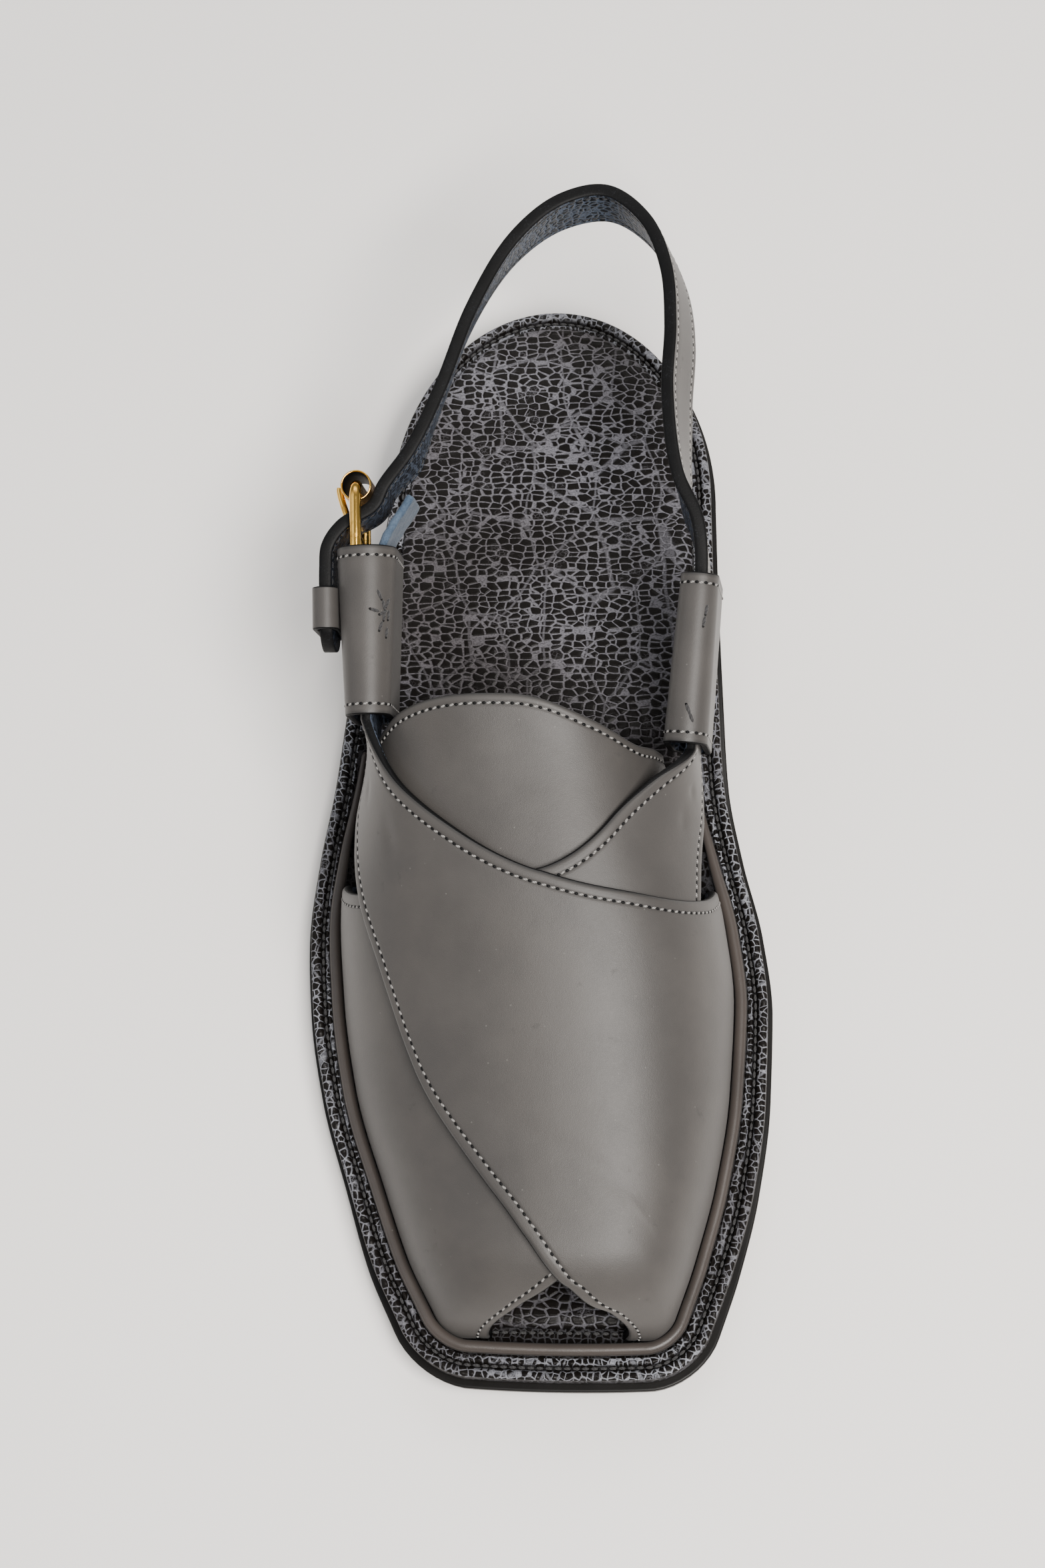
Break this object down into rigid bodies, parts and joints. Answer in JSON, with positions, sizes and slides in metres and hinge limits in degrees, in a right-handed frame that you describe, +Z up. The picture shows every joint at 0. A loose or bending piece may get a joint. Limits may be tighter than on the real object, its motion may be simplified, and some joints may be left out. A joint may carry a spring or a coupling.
{
  "type": "chappal sandal",
  "caption": "Right-foot grey leather chappal with wide crossed straps, an open square toe, a wavy tongue, a buckled heel strap and a low rubber heel.",
  "frame": {"origin": "middle of the whole shoe's footprint, on the floor under its sole", "axes": "+Z up, -Y towards the toe, +X towards the inner (medial) side of the right foot"},
  "size_m": [0.1234, 0.3042, 0.0842],
  "materials": {
    "leather": "smooth satin",
    "crackle": "glossy cracked print",
    "strap_leather": "matte cut edges",
    "rubber": "satin",
    "suede": "napped",
    "brass": "polished"
  },
  "bodies": {
    "root": {"outsole": "rubber", "heel_lift": "rubber", "midsole": "crackle", "insole": "crackle", "piping": "leather", "upper": "leather", "tongue": "leather", "lateral_sleeve": "leather", "medial_sleeve": "leather", "heel_strap": "strap_leather", "keeper_loop": "leather", "chafe_tab": "suede", "buckle_frame": "brass", "buckle_roller": "brass", "buckle_prong": "brass"}
  },
  "joints": []
}
